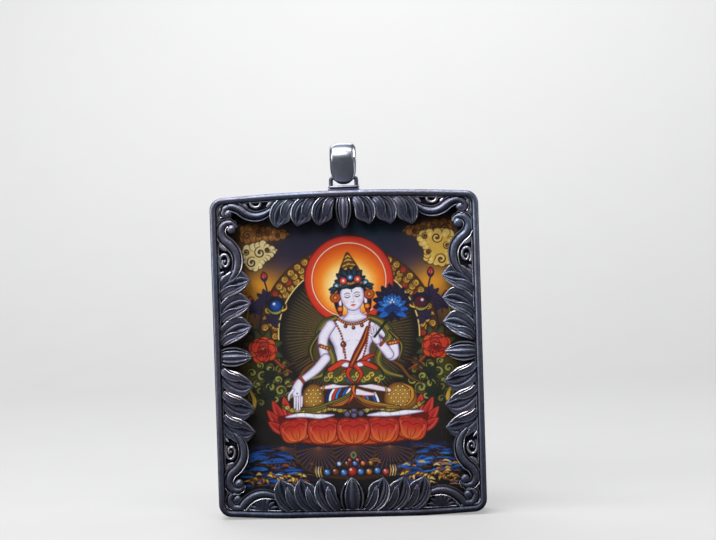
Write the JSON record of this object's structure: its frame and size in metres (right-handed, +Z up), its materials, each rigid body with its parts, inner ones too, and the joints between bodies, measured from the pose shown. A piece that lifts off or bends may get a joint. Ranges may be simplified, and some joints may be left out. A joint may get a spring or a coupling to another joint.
{
  "type": "amulet pendant",
  "caption": "Rectangular silver amulet box pendant: leaf and scroll border round a glazed devotional painting, sliding back cover and a swinging bail.",
  "frame": {"origin": "middle of the foot that the case stands on", "axes": "+Z up along the case, -Y out of the front, +X to the right seen from the front"},
  "size_m": [0.05, 0.0092, 0.0698],
  "materials": {
    "silver_case": "oxidised silver, worn bright along the edges",
    "silver_border": "oxidised silver relief, dark in the hollows and bright on the ridges",
    "window_glass": "thin clear pane",
    "mat_paper": "black card",
    "painted_canvas": "fine cotton painted in mineral colours and gold",
    "backing_board": "unbleached board",
    "felt": "red wool felt",
    "silver_cover": "oxidised silver sheet with a brushed field",
    "silver_roundel": "oxidised silver relief",
    "silver_fittings": "oxidised silver",
    "silver_bail": "polished silver with dark edges"
  },
  "bodies": {
    "case": {"case_frame": "silver_case", "leaf_border": "silver_border", "window_glass": "window_glass", "picture_mat": "mat_paper", "thangka_canvas": "painted_canvas", "backing_board": "backing_board", "felt_pad": "felt", "bail_plinth": "silver_fittings", "bail_staple": "silver_fittings"},
    "cover": {"back_cover": "silver_cover", "lotus_roundel": "silver_roundel"},
    "bail": {"bail": "silver_bail"}
  },
  "joints": [
    {"name": "bail_swing", "type": "hinge", "parent": "case", "child": "bail", "pos_m": [0, -0.00098, 0.06328], "axis": [1, 0, 0], "range_deg": [-65, 65]},
    {"name": "cover_slide", "type": "slide", "parent": "case", "child": "cover", "axis": [0, 0, 1], "range_m": [0, 0.07]}
  ]
}
